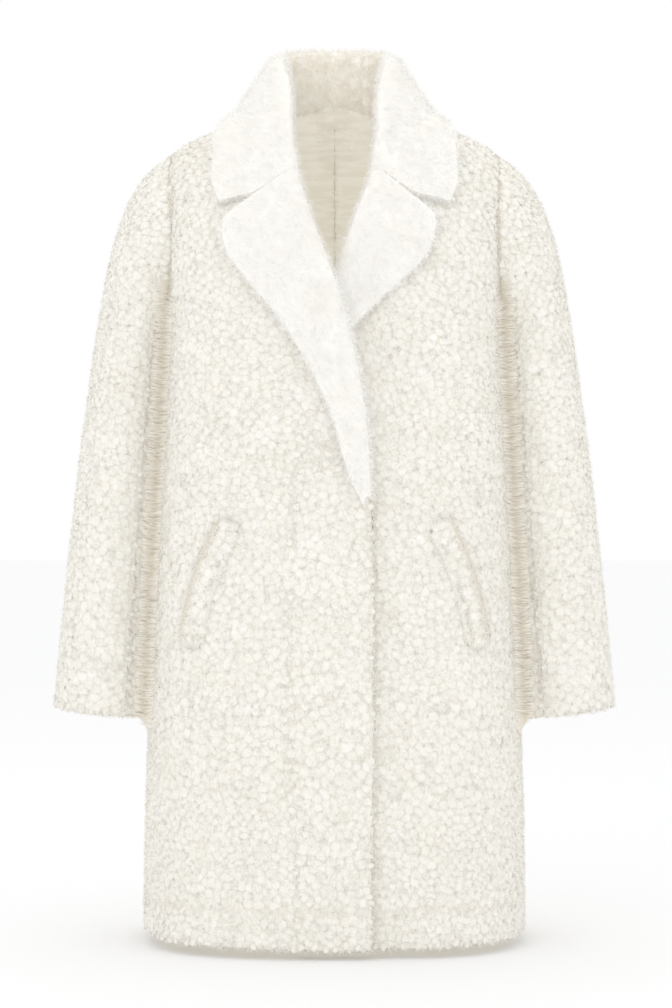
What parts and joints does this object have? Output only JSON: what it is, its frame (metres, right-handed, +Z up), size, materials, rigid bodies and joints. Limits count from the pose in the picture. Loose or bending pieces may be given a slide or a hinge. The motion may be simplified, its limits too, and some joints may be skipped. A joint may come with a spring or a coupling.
{
  "type": "faux fur coat",
  "caption": "Knee-length faux fur coat of curly cream pile cloth, with a turned collar, notched lapels and slanted welt pockets, empty and open at neck, hem and cuffs.",
  "frame": {"origin": "the middle of the neck opening, where the wearer's shoulders and neck carry the coat", "axes": "+X towards the coat's own left side, +Y towards its back, +Z up; the front faces -Y"},
  "size_m": [0.61, 0.3143, 0.9764],
  "materials": {
    "curly_pile": "matt curly pile about 8 mm deep on a knitted backing",
    "trim_pile": "the same pile combed out finer on collar and lapels",
    "backing": "smooth short-napped knitted backing, seen inside at the neck"
  },
  "bodies": {
    "root": {"back_left": "curly_pile", "back_right": "curly_pile", "collar": "trim_pile", "front_left": "curly_pile", "front_right": "curly_pile", "lapel_left": "trim_pile", "lapel_right": "trim_pile", "pocket_welt_left": "curly_pile", "pocket_welt_right": "curly_pile", "sleeve_left_under": "curly_pile", "sleeve_left_upper": "curly_pile", "sleeve_right_under": "curly_pile", "sleeve_right_upper": "curly_pile"}
  },
  "joints": []
}
